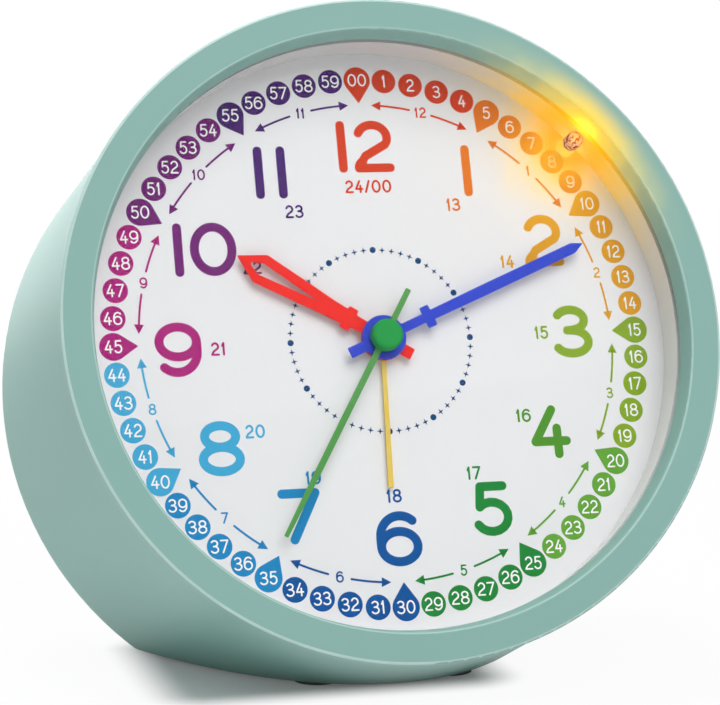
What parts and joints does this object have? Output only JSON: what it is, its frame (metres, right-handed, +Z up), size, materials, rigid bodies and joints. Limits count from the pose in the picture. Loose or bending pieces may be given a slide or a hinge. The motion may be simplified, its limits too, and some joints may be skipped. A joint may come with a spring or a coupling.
{
  "type": "kids alarm clock with night light",
  "caption": "Round leaning kids alarm clock with a deep ring bezel, a white dial, four coloured hands, a warm night light, rear setting knobs and a battery bay.",
  "frame": {"origin": "on the surface it stands on, under the middle of its bounding box", "axes": "+Z up, +X to the right seen from the front, -Y towards the reader of the dial"},
  "size_m": [0.1198, 0.0977, 0.1172],
  "materials": {
    "mint_plastic": "satin moulded plastic in mint green",
    "white_plastic": "satin white moulded plastic",
    "clear_lens": "clear polished plastic lens",
    "dial_white": "matt white print base",
    "red_hand": "satin red enamel",
    "blue_hand": "satin blue enamel",
    "green_hand": "satin green enamel",
    "yellow_hand": "satin yellow enamel",
    "lamp_resin": "warm tinted resin",
    "grey_plastic": "grey moulded plastic",
    "black_plastic": "black moulded plastic",
    "gear_nylon": "natural nylon",
    "steel": "nickel plated steel",
    "brass": "bright brass",
    "magnet": "sintered magnet",
    "copper": "enamelled copper wire",
    "board_green": "solder-masked board",
    "cell_wrap": "printed sleeve, plain grey",
    "rubber": "matt grey rubber"
  },
  "bodies": {
    "case": {"front_bezel": "mint_plastic", "lens": "clear_lens", "reflector_ring": "white_plastic", "dial_plate": "dial_white", "chassis": "grey_plastic", "chassis_screws": "steel", "night_light_lamp": "lamp_resin", "lamp_holder": "black_plastic", "body_shell": "mint_plastic", "foot_pads": "rubber", "rear_cover": "mint_plastic", "cell_upper": "cell_wrap", "cell_lower": "cell_wrap", "contact_bridge": "steel", "contact_negative": "steel", "contact_positive": "steel", "cover_screws": "steel", "circuit_board": "board_green", "control_chip": "black_plastic", "board_screws": "steel", "sounder": "black_plastic", "alarm_switch_case": "steel", "button_switch_case": "steel", "button_board": "board_green", "movement_front_case": "white_plastic", "movement_screws": "steel", "movement_rear_case": "grey_plastic", "movement_mid_plate": "white_plastic", "stator": "steel", "motor_coil": "copper", "movement_board": "board_green", "quartz_crystal": "steel", "movement_chip": "black_plastic", "alarm_contact_leaf": "brass"},
    "seconds": {"seconds_wheel": "gear_nylon", "second_hand": "green_hand", "second_hand_cap": "green_hand"},
    "step": {"step_wheel": "gear_nylon"},
    "rotor": {"rotor_shaft": "gear_nylon", "rotor_magnet": "magnet"},
    "third": {"third_wheel": "gear_nylon"},
    "centre": {"centre_wheel": "gear_nylon"},
    "minutes": {"cannon_pinion": "brass", "minute_hand": "blue_hand"},
    "motion": {"motion_wheel": "gear_nylon"},
    "hours": {"hour_wheel": "brass", "hour_hand": "red_hand"},
    "time_setting": {"time_setting_gear": "gear_nylon", "time_knob": "white_plastic"},
    "alarm": {"alarm_wheel": "gear_nylon", "alarm_hand": "yellow_hand"},
    "alarm_setting": {"alarm_setting_gear": "gear_nylon", "alarm_knob": "white_plastic"},
    "snooze": {"snooze_button": "mint_plastic", "button_plunger": "black_plastic"},
    "switch": {"alarm_slider": "white_plastic"},
    "door": {"battery_door": "mint_plastic"}
  },
  "joints": [
    {"name": "seconds_turn", "type": "hinge", "parent": "case", "child": "seconds", "pos_m": [0, -0.0173, 0.0588], "axis": [0, 0.9418, -0.3363], "continuous": true},
    {"name": "step_turn", "type": "hinge", "parent": "case", "child": "step", "pos_m": [0.00866, -0.02021, 0.05064], "axis": [0, 0.9418, -0.3363], "continuous": true},
    {"name": "rotor_turn", "type": "hinge", "parent": "case", "child": "rotor", "pos_m": [0.01712, -0.01918, 0.05354], "axis": [0, 0.9418, -0.3363], "continuous": true},
    {"name": "third_turn", "type": "hinge", "parent": "case", "child": "third", "pos_m": [-0.00817, -0.02005, 0.05111], "axis": [0, 0.9418, -0.3363], "continuous": true},
    {"name": "centre_turn", "type": "hinge", "parent": "case", "child": "centre", "pos_m": [0, -0.0173, 0.0588], "axis": [0, 0.9418, -0.3363], "continuous": true},
    {"name": "minutes_turn", "type": "hinge", "parent": "case", "child": "minutes", "pos_m": [0, -0.0173, 0.0588], "axis": [0, 0.9418, -0.3363], "continuous": true},
    {"name": "motion_turn", "type": "hinge", "parent": "case", "child": "motion", "pos_m": [0.004, -0.01497, 0.06532], "axis": [0, 0.9418, -0.3363], "continuous": true},
    {"name": "hours_turn", "type": "hinge", "parent": "case", "child": "hours", "pos_m": [0, -0.0173, 0.0588], "axis": [0, 0.9418, -0.3363], "continuous": true},
    {"name": "time_setting_turn", "type": "hinge", "parent": "case", "child": "time_setting", "pos_m": [0.01396, -0.01526, 0.0645], "axis": [0, 0.9418, -0.3363], "continuous": true},
    {"name": "alarm_turn", "type": "hinge", "parent": "case", "child": "alarm", "pos_m": [0, -0.0173, 0.0588], "axis": [0, 0.9418, -0.3363], "continuous": true},
    {"name": "alarm_setting_turn", "type": "hinge", "parent": "case", "child": "alarm_setting", "pos_m": [-0.01108, -0.01515, 0.06482], "axis": [0, 0.9418, -0.3363], "continuous": true},
    {"name": "snooze_press", "type": "slide", "parent": "case", "child": "snooze", "axis": [0, -0.3363, -0.9418], "range_m": [0, 0.0015], "stiffness_N_per_m": 300, "springref_m": -0.002},
    {"name": "switch_slide", "type": "slide", "parent": "case", "child": "switch", "axis": [1, 0, 0], "range_m": [0, 0.004]},
    {"name": "door_swing", "type": "hinge", "parent": "case", "child": "door", "pos_m": [0, 0.01654, 0.00636], "axis": [-1, 0, 0], "range_deg": [0, 65]}
  ],
  "couplings": [
    {"joint": "step_turn", "follows": "seconds_turn", "ratio": -6},
    {"joint": "rotor_turn", "follows": "seconds_turn", "ratio": 30},
    {"joint": "third_turn", "follows": "seconds_turn", "ratio": -0.1},
    {"joint": "centre_turn", "follows": "seconds_turn", "ratio": 0.016667},
    {"joint": "motion_turn", "follows": "minutes_turn", "ratio": -0.33333},
    {"joint": "hours_turn", "follows": "minutes_turn", "ratio": 0.083333},
    {"joint": "time_setting_turn", "follows": "minutes_turn", "ratio": 0.5},
    {"joint": "alarm_turn", "follows": "alarm_setting_turn", "ratio": -0.6}
  ]
}
